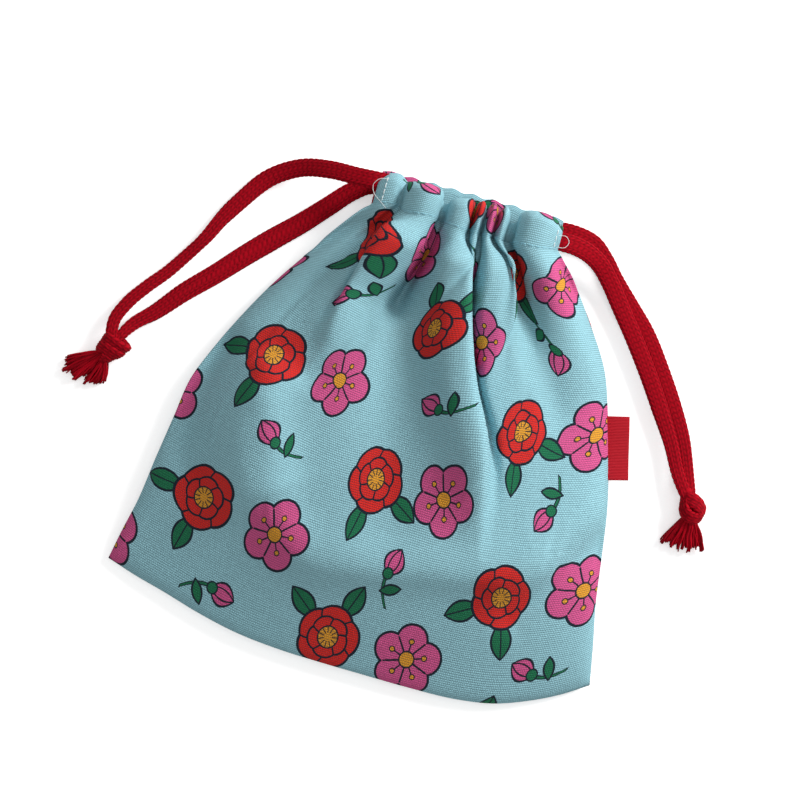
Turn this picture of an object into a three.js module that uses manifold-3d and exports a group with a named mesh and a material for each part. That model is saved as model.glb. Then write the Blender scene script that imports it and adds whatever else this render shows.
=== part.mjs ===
// Kinchaku drawstring pouch, lying on its back with its mouth drawn in.
//
// One strip of canvas is folded across the base and sewn up both sides. The top edges of the front and
// the back are turned in to make two casings, open at both ends. Two flat braided cords run round both
// casings: the left one leaves on the left and turns back on the right, and the right one the other way
// about. The two ends of each cord are tied together and frayed.
//
// Millimetres. X runs across the pouch, Y from the base fold to the mouth and Z up from the table. The
// origin is on the table, under the middle of the cloth.

import * as THREE from "three";
import { mergeVertices } from "three/addons/utils/BufferGeometryUtils.js";
import Module from "manifold-3d";

const wasm = await Module();
wasm.setup();

// Driving dimensions

const GAP = 0.3; // clearance between pieces that touch
const CLOTH_WALL = 0.9; // canvas, with its seam allowances spread over it

const POUCH = {
  cornerWidth: 199, // across the two base corners
  length: 197.5, // base fold to mouth, along the middle
  baseBow: 18, // how far the middle of the base fold lies beyond its corners
  shoulderWidth: 80, // across the side seams where they end below the casings
  sideCurve: 1.95, // how late the sides draw in: 1 is a straight taper
  foldHeight: 2, // height of the base fold above the table
  crownHeight: 36, // thickness of the filled-out belly
  crownPlace: 0.38, // where the belly is thickest, along the side from corner to shoulder
  flatShare: 0.8, // part of the back's width that lies on the table
};

const MOUTH = {
  width: 73, // length of the drawn-in casings
  opening: 6, // height of the way in between the two casings
  pleats: 5, // bunches of cloth across each casing
  pleatDepth: 3, // how far a bunch stands up from the front
  scallop: 1.2, // how far a bunch stands out of the mouth's edge
  pleatFade: 4, // how fast the bunches die out towards the base
  cornerRadius: 1.6, // of the casing's turned edges
};

const CORD = {
  width: 7, // the tubular braid lies pressed flat
  thickness: 2.4,
  steps: 78, // along the whole cord
  lead: 11, // straight length outside the casing, which can run back into it
  turnClearance: 2, // from the end of a casing to where the cord turns back
};

const KNOT = {
  radius: 6.2, // across the cord
  halfLength: 5.6, // along the cord
  flattening: 0.85, // height over width
  collarRadius: 3.4, // where the tied ends leave the knot
  collarLength: 1.6,
};

const TASSEL = {
  length: 11,
  flareRadius: 8,
  flattening: 0.64,
  endDome: 1.2,
};

const LABEL = {
  length: 25, // along the side seam
  reach: 8, // out of the seam
  tape: 0.5, // thickness of the woven tape, which is folded double
  slit: 0.3, // between the two layers
  place: 0.585, // middle of the label, along the side from corner to shoulder
};

const LEFT_KNOT = { x: -121.3, y: 0.5, tailTurn: THREE.MathUtils.degToRad(-30) };
const RIGHT_KNOT = { x: 119.8, y: 0.7, tailTurn: THREE.MathUtils.degToRad(4.6) };

// Routes of the free strands on the table, from the knot's side towards the casing
const LEFT_LOWER_STRAND = [
  [-112.6, 15.9, 1.5], [-106.5, 23.1, 1.3], [-98.9, 31.8, 1.3], [-91.1, 40, 1.3], [-80.8, 49.9, 1.3],
  [-72.7, 57.5, 1.3], [-65, 67, 1.4], [-59.5, 77, 1.7], [-56, 85.5, 2], [-52.5, 91.5, 2.3],
];
const LEFT_UPPER_STRAND = [
  [-122.4, 13.5, 4.8], [-118.8, 20.3, 3.9], [-112.1, 28.6, 2.6], [-104.4, 37.3, 2.2], [-97.6, 50.3, 2.2],
  [-93.1, 61.5, 2.2], [-85.4, 73.8, 2.8], [-78.3, 82.6, 5], [-65.5, 92.4, 13], [-54.5, 94, 17.8],
];
const RIGHT_UNDER_STRAND = [
  [114.4, 13.2, 2.6], [111, 20.5, 1.5], [105.8, 29.2, 1.3], [97.7, 41.9, 1.3], [90.4, 52.1, 1.3],
  [82.7, 62.2, 1.3], [75, 72, 1.6], [66.5, 79.5, 3.2], [58, 84.4, 4.6],
];
const RIGHT_OVER_STRAND = [
  [111.4, 12.2, 5.3], [108, 18, 4.3], [102.2, 27.2, 4.1], [94.2, 39.8, 4.1], [87.1, 49.8, 4.1],
  [79.3, 59.8, 4.7], [71.5, 69.3, 7.5], [63, 78.6, 12.5], [57, 84, 15.2],
];

// Sizes that follow from the driving dimensions

const mouthEdge = POUCH.length / 2;
const cornerY = -POUCH.length / 2 + POUCH.baseBow;

// Each casing's channel takes the two cords side by side, one a little above the other.
const channelWidth = 2 * CORD.width + 3 * GAP;
const channelHeight = 2 * CORD.thickness + 3 * GAP;
const casingDepth = channelWidth + 2 * CLOTH_WALL;
const casingThickness = channelHeight + 2 * CLOTH_WALL;
const casingMiddle = mouthEdge - MOUTH.scallop - casingDepth / 2;
const stitchLine = casingMiddle - casingDepth / 2;
const backCasingZ = casingThickness / 2;
const frontCasingZ = backCasingZ + casingThickness + MOUTH.opening;
const rimY = stitchLine + CLOTH_WALL;
const rimZ = frontCasingZ + casingThickness / 2 - GAP;
const seamRimZ = (backCasingZ + frontCasingZ) / 2;

const laneOffset = (CORD.width + GAP) / 2;
const levelOffset = (CORD.thickness + GAP) / 2;
const knotHeight = KNOT.radius * KNOT.flattening;

const canvas = new THREE.MeshStandardMaterial({ color: 0x8ccbdc, roughness: 0.9, metalness: 0 });
const braid = new THREE.MeshStandardMaterial({ color: 0xb01028, roughness: 0.8, metalness: 0 });
const wovenTape = new THREE.MeshStandardMaterial({ color: 0xb8142c, roughness: 0.7, metalness: 0 });

// Meshes and solids

// Closed skin through rings of equally many points, each counter-clockwise seen from the far end. An end
// ring is closed by a fan about its middle, unless its two halves lie on each other and close by themselves.
function loft(rings, foldedStart = false) {
  const count = rings[0].length;
  const points = rings.flat();
  const index = [];
  for (let k = 0; k + 1 < rings.length; k++) {
    for (let i = 0; i < count; i++) {
      const j = (i + 1) % count;
      const [p, q, r, s] = [k * count + i, k * count + j, (k + 1) * count + j, (k + 1) * count + i];
      index.push(p, q, r, p, r, s);
    }
  }
  const fan = (start, flip) => {
    const middle = new THREE.Vector3();
    for (let i = 0; i < count; i++) {
      middle.addScaledVector(points[start + i], 1 / count);
    }
    const hub = points.push(middle) - 1;
    for (let i = 0; i < count; i++) {
      const pair = [start + i, start + ((i + 1) % count)];
      index.push(hub, ...(flip ? pair.reverse() : pair));
    }
  };
  if (!foldedStart) {
    fan(0, true);
  }
  fan((rings.length - 1) * count, false);
  const geometry = new THREE.BufferGeometry().setFromPoints(points);
  geometry.setIndex(index);
  return geometry;
}

function toSolid(geometry) {
  const bare = geometry.clone();
  bare.deleteAttribute("normal");
  bare.deleteAttribute("uv");
  const merged = mergeVertices(bare, 1e-4);
  const corners = merged.getIndex().array;
  const triVerts = [];
  for (let i = 0; i < corners.length; i += 3) {
    const [a, b, c] = corners.slice(i, i + 3);
    if (a !== b && b !== c && c !== a) {
      triVerts.push(a, b, c);
    }
  }
  return new wasm.Manifold(new wasm.Mesh({
    numProp: 3,
    vertProperties: Float32Array.from(merged.getAttribute("position").array),
    triVerts: Uint32Array.from(triVerts),
  }));
}

function toGeometry(solid) {
  const mesh = solid.getMesh();
  const geometry = new THREE.BufferGeometry();
  geometry.setAttribute("position", new THREE.BufferAttribute(mesh.vertProperties, 3));
  geometry.setIndex(new THREE.BufferAttribute(mesh.triVerts, 1));
  geometry.computeVertexNormals();
  return geometry;
}

function piece(name, geometry, material) {
  const mesh = new THREE.Mesh(geometry, material);
  mesh.name = name;
  return mesh;
}

// Pouch

const ACROSS = 6 * MOUTH.pleats; // faces across each side of the pouch
const ALONG = 12; // faces from the base fold to the shoulders

// Height of the bunched cloth at a place across the mouth, from -1 to 1: 0 between bunches, 1 on one.
const bunch = (across) => 0.5 - 0.5 * Math.cos(Math.PI * MOUTH.pleats * (across + 1));
const sideways = (across) => Math.sin((Math.PI / 2) * across);

// Half the pouch's width at a share of the way along its side seam.
function halfWidth(along) {
  const shoulder = POUCH.shoulderWidth / 2;
  return THREE.MathUtils.lerp(POUCH.cornerWidth / 2, shoulder, along ** POUCH.sideCurve);
}

function seamHeight(along) {
  return THREE.MathUtils.lerp(POUCH.foldHeight, seamRimZ, along ** 0.7);
}

// Height of the front along the middle: a quarter ellipse up from the fold to the crown, then an easy
// fall to the mouth.
function crownAt(along, inset) {
  const top = POUCH.crownHeight - inset;
  if (along < POUCH.crownPlace) {
    const rise = Math.sqrt(1 - (1 - along / POUCH.crownPlace) ** 2);
    return THREE.MathUtils.lerp(POUCH.foldHeight, top, rise);
  }
  const fall = (along - POUCH.crownPlace) / (1 - POUCH.crownPlace);
  return THREE.MathUtils.lerp(top, rimZ - inset, 0.5 - 0.5 * Math.cos(Math.PI * fall));
}

// Point of the pouch's skin, or of a skin set in from it, on the front or on the back.
function skinPoint(along, across, onFront, inset, past) {
  const s = sideways(across);
  const edge = Math.abs(s);
  const half = halfWidth(along) - 2 * inset;
  const bow = POUCH.baseBow * (1 - along) ** 2 * (1 - s * s);
  const y = THREE.MathUtils.lerp(cornerY + 3 * inset, rimY + past, along) - bow;
  const seam = seamHeight(along);
  let z = POUCH.foldHeight;
  if (onFront) {
    const pleat = MOUTH.pleatDepth * along ** MOUTH.pleatFade * bunch(across);
    z = seam + (crownAt(along, inset) + pleat - seam) * Math.sqrt(1 - edge ** 2.2);
  } else if (along > 0) {
    const lift = Math.max(0, (edge - POUCH.flatShare) / (1 - POUCH.flatShare));
    z = seam - (seam - inset) * Math.sqrt(1 - Math.min(1, lift) ** 2);
  }
  return new THREE.Vector3(half * s, y, z);
}

function skin(inset, past) {
  const rings = [];
  for (let k = 0; k <= ALONG; k++) {
    const along = (k / ALONG) ** 1.5;
    const ring = [];
    for (let i = 0; i <= ACROSS; i++) {
      ring.push(skinPoint(along, -1 + (2 * i) / ACROSS, true, inset, past));
    }
    for (let i = ACROSS - 1; i > 0; i--) {
      ring.push(skinPoint(along, -1 + (2 * i) / ACROSS, false, inset, past));
    }
    rings.push(ring);
  }
  return toSolid(loft(rings, true));
}

function roundedOutline(width, height, radius) {
  const [x, y] = [width / 2 - radius, height / 2 - radius];
  const outline = new THREE.Shape();
  outline.absarc(x, y, radius, 0, Math.PI / 2);
  outline.absarc(-x, y, radius, Math.PI / 2, Math.PI);
  outline.absarc(-x, -y, radius, Math.PI, 1.5 * Math.PI);
  outline.absarc(x, -y, radius, 1.5 * Math.PI, 2 * Math.PI);
  return outline.extractPoints(2).shape;
}

// Turned-over hem drawn up on its cords. The bunches stand out of the mouth's edge, and on the front
// they stand up too, while the back is pressed flat by the table.
function casing(z, pleatDepth) {
  const outline = roundedOutline(casingDepth, casingThickness, MOUTH.cornerRadius);
  const rings = [];
  for (let i = 0; i <= ACROSS; i++) {
    const across = -1 + (2 * i) / ACROSS;
    rings.push(outline.map((p) => {
      const out = p.x > 0 ? MOUTH.scallop * bunch(across) : 0;
      const up = p.y > 0 ? pleatDepth * bunch(across) : 0;
      return new THREE.Vector3((MOUTH.width / 2) * sideways(across), casingMiddle + p.x + out, z + p.y + up);
    }));
  }
  return toSolid(loft(rings));
}

function channel(z) {
  const outline = roundedOutline(channelWidth, channelHeight, MOUTH.cornerRadius - CLOTH_WALL);
  const end = MOUTH.width / 2 + CLOTH_WALL;
  const ring = (x) => outline.map((p) => new THREE.Vector3(x, casingMiddle + p.x, z + p.y));
  return toSolid(loft([ring(-end), ring(end)]));
}

function pouchCloth() {
  return skin(0, 0)
    .subtract(skin(CLOTH_WALL, 2 * CLOTH_WALL))
    .add(casing(frontCasingZ, MOUTH.pleatDepth))
    .add(casing(backCasingZ, 0))
    .subtract(channel(frontCasingZ))
    .subtract(channel(backCasingZ));
}

// Side label: a woven tape folded double, with its two raw ends caught in the right side seam.

function sideLabel() {
  const thick = LABEL.tape + LABEL.slit / 2;
  const bend = LABEL.reach - thick;
  const hairpin = new THREE.Shape();
  hairpin.moveTo(0, -thick);
  hairpin.lineTo(bend, -thick);
  hairpin.absarc(bend, 0, thick, -Math.PI / 2, Math.PI / 2);
  hairpin.lineTo(0, thick);
  hairpin.lineTo(0, LABEL.slit / 2);
  hairpin.lineTo(bend, LABEL.slit / 2);
  hairpin.absarc(bend, 0, LABEL.slit / 2, Math.PI / 2, -Math.PI / 2, true);
  hairpin.lineTo(0, -LABEL.slit / 2);
  const tape = new THREE.ExtrudeGeometry(hairpin, {
    depth: LABEL.length, bevelEnabled: false, curveSegments: 4,
  });
  tape.translate(0, 0, -LABEL.length / 2);
  tape.rotateX(Math.PI / 2);
  const [low, high] = [-0.01, 0.01].map((step) => skinPoint(LABEL.place + step, 1, true, 0, 0));
  const label = piece("side_label", tape, wovenTape);
  label.position.copy(skinPoint(LABEL.place, 1, true, 0, 0));
  label.rotation.z = Math.atan2(low.x - high.x, high.y - low.y);
  label.translateX(GAP);
  return label;
}

// Drawcords

// Place where a strand meets its knot: short of the knot, on the line from its next point to the middle,
// with the back strand below and the front strand above.
function knotEnd(knot, next, level) {
  const middle = new THREE.Vector3(knot.x, knot.y, knotHeight + level);
  const away = new THREE.Vector3(next.x - knot.x, next.y - knot.y, 0).normalize();
  return middle.addScaledVector(away, KNOT.radius + GAP);
}

// Whole cord from knot to knot: along one strand, through the back casing, round the far end, back through
// the front casing and along the other strand. side is -1 for a cord that leaves on the left, 1 on the right.
function drawcordRoute(knot, side, lane, level, backStrand, frontStrand) {
  const [backZ, frontZ] = [backCasingZ - level, frontCasingZ + level];
  const at = (x, z) => new THREE.Vector3(x, casingMiddle + lane, z);
  const exit = side * (MOUTH.width / 2);
  const run = (z) => [exit + side * CORD.lead, exit, exit / 2, -exit / 2, -exit].map((x) => at(x, z));
  const turnX = -exit - side * CORD.turnClearance;
  const [turnZ, turnRadius] = [(frontZ + backZ) / 2, (frontZ - backZ) / 2];
  const turn = [-90, -60, -30, 0, 30, 60, 90].map(THREE.MathUtils.degToRad).map(
    (a) => at(turnX - side * turnRadius * Math.cos(a), turnZ + turnRadius * Math.sin(a)));
  const [back, front] = [backStrand, frontStrand].map((list) => list.map((p) => new THREE.Vector3(...p)));
  return new THREE.CatmullRomCurve3([
    knotEnd(knot, back[0], -levelOffset), ...back, ...run(backZ), ...turn,
    ...run(frontZ).reverse(), ...front.toReversed(), knotEnd(knot, front[0], levelOffset),
  ]);
}

// Flat section with rounded edges, its thickness along the path's normal.
function drawcord(name, route) {
  const round = CORD.thickness / 2;
  const edge = CORD.width / 2 - round;
  const section = new THREE.Shape();
  section.absarc(0, edge, round, 0, Math.PI);
  section.absarc(0, -edge, round, Math.PI, 2 * Math.PI);
  const tube = new THREE.ExtrudeGeometry(section, {
    steps: CORD.steps, extrudePath: route, curveSegments: 2,
  });
  return piece(name, tube, braid);
}

// Overhand knot of both ends, drawn tight: a flattened bulb with the collar that the ends leave by.
function knotBulb(name) {
  const profile = [];
  const lowest = -Math.acos(KNOT.collarRadius / KNOT.radius);
  for (let i = 0; i <= 10; i++) {
    const a = THREE.MathUtils.lerp(lowest, Math.PI / 2, i / 10);
    profile.push(new THREE.Vector2(Math.max(0, KNOT.radius * Math.cos(a)), KNOT.halfLength * Math.sin(a)));
  }
  const collarEnd = profile[0].y - KNOT.collarLength;
  profile.unshift(new THREE.Vector2(0, collarEnd), new THREE.Vector2(KNOT.collarRadius, collarEnd));
  profile.at(-1).x = 0;
  const bulb = piece(name, new THREE.LatheGeometry(profile, 20), braid);
  bulb.scale.z = KNOT.flattening;
  return { bulb, collarEnd };
}

// Frayed end: the yarns spread from the collar to a shallow dome.
function tassel(name, start) {
  const tip = start - TASSEL.length;
  const flare = new THREE.QuadraticBezierCurve(
    new THREE.Vector2(TASSEL.flareRadius, tip + TASSEL.endDome),
    new THREE.Vector2(KNOT.collarRadius, tip + TASSEL.length / 2),
    new THREE.Vector2(KNOT.collarRadius, start));
  const profile = [new THREE.Vector2(0, tip), ...flare.getPoints(6), new THREE.Vector2(0, start)];
  const brush = piece(name, new THREE.LatheGeometry(profile, 20), braid);
  brush.scale.z = TASSEL.flattening;
  return brush;
}

function tiedEnds(prefix, knot) {
  const { bulb, collarEnd } = knotBulb(`${prefix}_knot`);
  const group = new THREE.Group();
  group.position.set(knot.x, knot.y, knotHeight);
  group.rotation.z = knot.tailTurn;
  group.add(bulb, tassel(`${prefix}_tassel`, collarEnd - GAP));
  return group;
}

// Assembly: the left cord takes the lane by the mouth's edge and passes outside the right one, whose lane
// is by the stitch line.

const leftRoute = drawcordRoute(
  LEFT_KNOT, -1, laneOffset, levelOffset, LEFT_LOWER_STRAND, LEFT_UPPER_STRAND);
const rightRoute = drawcordRoute(
  RIGHT_KNOT, 1, -laneOffset, -levelOffset, RIGHT_UNDER_STRAND, RIGHT_OVER_STRAND);

const kinchaku = new THREE.Group();
kinchaku.add(
  piece("pouch_cloth", toGeometry(pouchCloth()), canvas),
  sideLabel(),
  drawcord("left_drawcord", leftRoute),
  tiedEnds("left", LEFT_KNOT),
  drawcord("right_drawcord", rightRoute),
  tiedEnds("right", RIGHT_KNOT),
);

export default kinchaku;
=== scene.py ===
import bpy
import numpy as np
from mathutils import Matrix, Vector


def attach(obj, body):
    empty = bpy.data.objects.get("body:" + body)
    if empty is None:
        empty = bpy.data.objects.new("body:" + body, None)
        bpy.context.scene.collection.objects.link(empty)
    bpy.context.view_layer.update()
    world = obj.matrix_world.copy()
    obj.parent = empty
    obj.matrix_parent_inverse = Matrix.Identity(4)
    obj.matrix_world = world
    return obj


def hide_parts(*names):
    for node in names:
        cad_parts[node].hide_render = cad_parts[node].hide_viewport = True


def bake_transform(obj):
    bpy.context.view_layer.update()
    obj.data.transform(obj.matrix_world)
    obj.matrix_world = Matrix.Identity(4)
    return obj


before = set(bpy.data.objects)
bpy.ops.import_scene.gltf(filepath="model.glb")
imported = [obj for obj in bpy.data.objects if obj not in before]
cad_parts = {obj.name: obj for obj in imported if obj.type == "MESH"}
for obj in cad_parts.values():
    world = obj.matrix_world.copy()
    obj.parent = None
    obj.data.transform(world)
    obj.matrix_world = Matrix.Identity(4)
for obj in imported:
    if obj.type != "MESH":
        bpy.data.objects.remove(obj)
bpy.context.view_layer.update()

# Pouch cloth: one strip of cotton canvas folded at the base, with seamed sides and both ends
# turned in as casings. The mouth is drawn up on its cords, so the cloth bunches into gathers
# there and puffs out below them.
MM = 0.001
CUT_HEIGHT = 181.5  # from the base fold to the casing's stitch line, along the cloth
COLUMNS, ROWS = 168, 104
INNER_BAND, BACK_BAND = 11.6, 6.4  # heights of the casings' inner layers
SEWN = 0.8  # share of each side that is seamed, from the base up
WALL, LOWEST = 0.7, 0.6  # thickness of the canvas, and its lowest outer face


def smooth_line(points, count):
    """A smooth curve through the points: cubic Hermite pieces whose slopes are the central
    differences by chord length, resampled at even steps of arc length."""
    p = np.asarray(points, float)
    t = np.r_[0, np.cumsum(np.linalg.norm(np.diff(p[:, :3], axis=0), axis=1))]
    slope = np.gradient(p, t, axis=0)
    fine = np.linspace(0, t[-1], 50 * len(p))
    k = np.clip(np.searchsorted(t, fine, side="right") - 1, 0, len(t) - 2)
    step = (t[k + 1] - t[k])[:, None]
    s = (fine - t[k])[:, None] / step
    q = (2 * s**3 - 3 * s**2 + 1) * p[k] + (s**3 - 2 * s**2 + s) * step * slope[k]
    q += (3 * s**2 - 2 * s**3) * p[k + 1] + (s**3 - s**2) * step * slope[k + 1]
    run = np.r_[0, np.cumsum(np.linalg.norm(np.diff(q[:, :3], axis=0), axis=1))]
    even = np.linspace(0, run[-1], count)
    return np.stack([np.interp(even, run, q[:, i]) for i in range(q.shape[1])], 1)


def ease(t):
    """Smooth step from 0 to 1."""
    t = np.clip(t, 0, 1)
    return t * t * (3 - 2 * t)


def mesh_piece(name, points, faces, material=None, **values):
    """A mesh object from points in millimetres, quad indices and per-point values."""
    data = bpy.data.meshes.new(name)
    faces = np.asarray(faces).reshape(-1, 4)
    points = np.asarray(points, float).reshape(-1, 3)
    data.vertices.add(len(points))
    data.vertices.foreach_set("co", (points * MM).ravel())
    data.loops.add(faces.size)
    data.loops.foreach_set("vertex_index", faces.ravel())
    data.polygons.add(len(faces))
    data.polygons.foreach_set("loop_start", np.arange(0, faces.size, 4))
    data.polygons.foreach_set("use_smooth", np.ones(len(faces), bool))
    data.update(calc_edges=True)
    data.validate()
    for key, value in values.items():
        value = np.asarray(value, float)
        flat = value.reshape(len(points), -1)
        if flat.shape[1] == 1:
            data.attributes.new(key, "FLOAT", "POINT").data.foreach_set("value", flat.ravel())
        else:
            flat = np.pad(flat, ((0, 0), (0, 3 - flat.shape[1])))
            data.attributes.new(key, "FLOAT_VECTOR", "POINT").data.foreach_set(
                "vector", flat.ravel())
    made = bpy.data.objects.new(name, data)
    bpy.context.collection.objects.link(made)
    if material:
        data.materials.append(material)
    return made


def grid_faces(index, around=False):
    """Quads between neighbouring entries of a grid of point indices."""
    if around:
        index = np.concatenate([index, index[:, :1]], 1)
    return np.stack([index[:-1, :-1], index[:-1, 1:], index[1:, 1:], index[1:, :-1]], -1)


# Outline of the lying pouch: base fold, then both side seams up to the casing.
BASE = [(-100.3, -81.6, 3), (-88, -85.4, 3.6), (-75.5, -88.6, 4), (-59, -93.2, 4.6),
        (-42.8, -96.6, 5), (-25, -98.4, 5.4), (-7.4, -99, 5.6), (10, -99.2, 5.6),
        (28.4, -99.4, 5.4), (51, -98.7, 5), (64, -96.7, 4.6), (78, -91.8, 4), (90.2, -85.8, 3.4),
        (100.2, -79.3, 3)]
LEFT = [(-100.3, -81.6, 3), (-97.5, -68, 5), (-95, -57.2, 6), (-92.2, -37, 7), (-89.8, -20.9, 7.6),
        (-86.9, -2, 7.8), (-82.4, 9.5, 8), (-73.7, 27.8, 8), (-63.9, 45.1, 8), (-55.7, 57.3, 8.2),
        (-48.6, 68, 8.6), (-41.8, 77.6, 9), (-37.5, 83, 9)]
RIGHT = [(100.2, -79.3, 3), (97, -63.5, 5), (93.4, -47, 6.4), (90.6, -28.4, 7.4),
         (87.2, -7.4, 7.8), (84.4, 4, 7.8), (77.8, 27.1, 7.8), (71.2, 45, 8), (64.5, 55.8, 8),
         (54.5, 69, 8.4), (46, 78.4, 9), (40, 84.5, 9)]
# Gathers of the front casing along its stitch line: x, y, z, then the y of the fold above.
GATHERS = [(-35.2, 83, 19.5, 94.6), (-31.6, 83.4, 21.8, 97), (-27.6, 84, 22, 97.6),
           (-24.6, 84.4, 18.6, 95.6), (-23.6, 83, 22.5, 95.6), (-20.5, 82, 27, 96.4),
           (-15.5, 82.4, 29.4, 96.8), (-10.8, 83, 27.4, 96), (-9, 83.4, 22, 94.2),
           (-8.3, 83.6, 15.4, 90.8), (-6.6, 83, 17.5, 91.4), (-5.6, 82.6, 22.5, 93),
           (-3, 82, 26.2, 94.4), (1, 81.6, 26.6, 95.4), (3.4, 82, 22.4, 95), (4.3, 82.4, 16, 92.2),
           (5.1, 82.2, 21.4, 94.6), (6.7, 81.6, 25.6, 96), (8.3, 82, 21.6, 94.8),
           (9.1, 82.2, 16.6, 92.6), (9.9, 82, 22, 95), (11.5, 81.6, 26, 96.4), (13.1, 82, 22, 95),
           (13.9, 82.2, 16.6, 92.8), (14.7, 82, 21.6, 95), (16.4, 81.6, 25.4, 96.4),
           (18.3, 82, 21.4, 94.4), (19.2, 82.6, 15.4, 90.4), (21.3, 82.4, 16.8, 91.2),
           (22.4, 82, 23, 95), (26.2, 81.6, 28.2, 97.4), (31.5, 81.8, 28.4, 97.8),
           (36, 83, 25, 97), (40, 84.5, 19.5, 94.6)]
# How far down the panel each part of the gathers reaches, by its place across.
FADE = ((0, 0.17, 0.28, 0.36, 0.42, 0.66, 0.72, 0.8, 1),
        (0.6, 0.62, 0.66, 0.7, 0.78, 0.78, 0.7, 0.66, 0.6))
# Soft folds in the front: x, y where each starts and ends, its rise and its breadth.
FOLDS = [(-15, 86, -40, 34, 5, 6.5), (-4, 84, -15, 48, -11, 5), (40, 76, 68, 42, 3.4, 7),
         (32, 62, 58, 22, -3.4, 6.5), (2, 70, 0, 36, 2, 6), (-10, 44, 4, -36, -6, 15),
         (88, -22, 62, -60, -5, 6), (84, -6, 54, -46, 3, 8), (-52, -4, -37, -46, 3, 8),
         (-20, 34, -44, -14, 2.4, 10)]
# Pleats, and the edges of the dome below them: the crease from the mouth down, the side of its
# ridge, how far that leans over the crease, its height and breadth, how broad its far flank is
# beside its near one, and the share of the crease that it keeps its height for.
PLEATS = [([(-20.5, 86), (-23.5, 77.8), (-27.5, 65.7), (-31.6, 49.3), (-38, 33.1), (-47, 8)],
           1, 6, 5, 4.4, 1.4, 0.55),
          ([(2.4, 86), (4.6, 77.6), (5.8, 67), (8.5, 56), (14, 38), (20.4, 22), (31, 5), (38, -12),
            (42, -28), (45, -46)], -1, 5.5, 12, 4, 3, 0.62),
          ([(-66, 22), (-71, 4), (-72, -14), (-67, -32), (-59, -48), (-47, -62)],
           1, 1, 8, 15, 1.2, 0.75),
          ([(-52, -46), (-42, -57), (-24, -66), (0, -64), (21, -59), (64, -49), (88, -32)],
           1, 0, 4, 9, 1.6, 0.85),
          ([(15.4, 88), (19, 77), (23, 65.4), (26.6, 56.2), (28.4, 42), (31, 22)],
           -1, 6, 3.8, 4, 1.4, 0.55),
          ([(-6, 88), (-7, 79.5), (-8.6, 74), (-12.4, 66.9), (-15.2, 58.5), (-17.3, 50), (-17, 30)],
           -1, 2.4, 6, 4.4, 1, 0.55)]
# Gathers of the back casing, which lies flat on the table in even waves.
BACK_GATHERS = [(-35.2 + 75.2 * t, 83 + 1.5 * t, 0.9 + 2.6 * (i % 2), 97.6 + 0.9 * (i % 2))
                for i, t in enumerate(np.linspace(0, 1, 19))]


def pull(a, b, free_a, free_b, rest, give):
    """Moves the paired points along the line between them towards their rest distance."""
    d = b - a
    length = np.sqrt((d * d).sum(-1, keepdims=True)) + 1e-9
    d *= give * (1 - rest / length) / (free_a + free_b + 1e-9)
    a += free_a * d
    b -= free_b * d


def relax(p, free, target, push, bend, rounds, low):
    """Cloth at rest by repeated projection: each round moves every point a little towards its
    target height, then restores the lengths of threads both ways, a little of the diagonals,
    and the span over two cells that keeps folds round. Threads across have one part in a
    hundred to spare. No point goes below the table or out over the outline."""
    thread, skew, near, margin = 0.9, 0.1, 5, 0.2
    rows, columns = p.shape[:2]

    def span(a, b):
        return np.linalg.norm(b - a, axis=-1, keepdims=True)

    wide, tall = 1.01 * span(p[:, :-1], p[:, 1:]), 1.003 * span(p[:-1], p[1:])
    fall, climb = span(p[:-1, :-1], p[1:, 1:]), span(p[:-1, 1:], p[1:, :-1])
    wide_two, tall_two = wide[:, :-1] + wide[:, 1:], tall[:-1] + tall[1:]
    base, left, right = p[0].copy(), p[:, 0].copy(), p[:, -1].copy()
    for _ in range(rounds):
        p[..., 2:] += free * push * np.clip((target - p[..., 2:]) / near, -1, 1)
        for s in (0, 1):
            g, h = slice(s, columns - 1, 2), slice(s + 1, columns, 2)
            pull(p[:, g], p[:, h], free[:, g], free[:, h], wide[:, g], thread)
            g, h = slice(s, rows - 1, 2), slice(s + 1, rows, 2)
            pull(p[g], p[h], free[g], free[h], tall[g], thread)
            pull(p[g, :-1], p[h, 1:], free[g, :-1], free[h, 1:], fall[g], skew)
            pull(p[g, 1:], p[h, :-1], free[g, 1:], free[h, :-1], climb[g], skew)
        for s in range(4):
            g, h = slice(s, columns - 2, 4), slice(s + 2, columns, 4)
            pull(p[:, g], p[:, h], free[:, g], free[:, h], wide_two[:, g], bend)
            g, h = slice(s, rows - 2, 4), slice(s + 2, rows, 4)
            pull(p[g], p[h], free[g], free[h], tall_two[g], bend)
        inside = p[1:-1, 1:-1]
        x, y = inside[..., 0], inside[..., 1]
        inside[..., 0] = np.clip(x, np.interp(y, left[:, 1], left[:, 0]) + margin,
                                 np.interp(y, right[:, 1], right[:, 0]) - margin)
        inside[..., 1] = np.maximum(y, np.interp(x, base[:, 0], base[:, 1]) + margin)
        inside[..., 2] = np.maximum(inside[..., 2], low)
    return p


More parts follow.
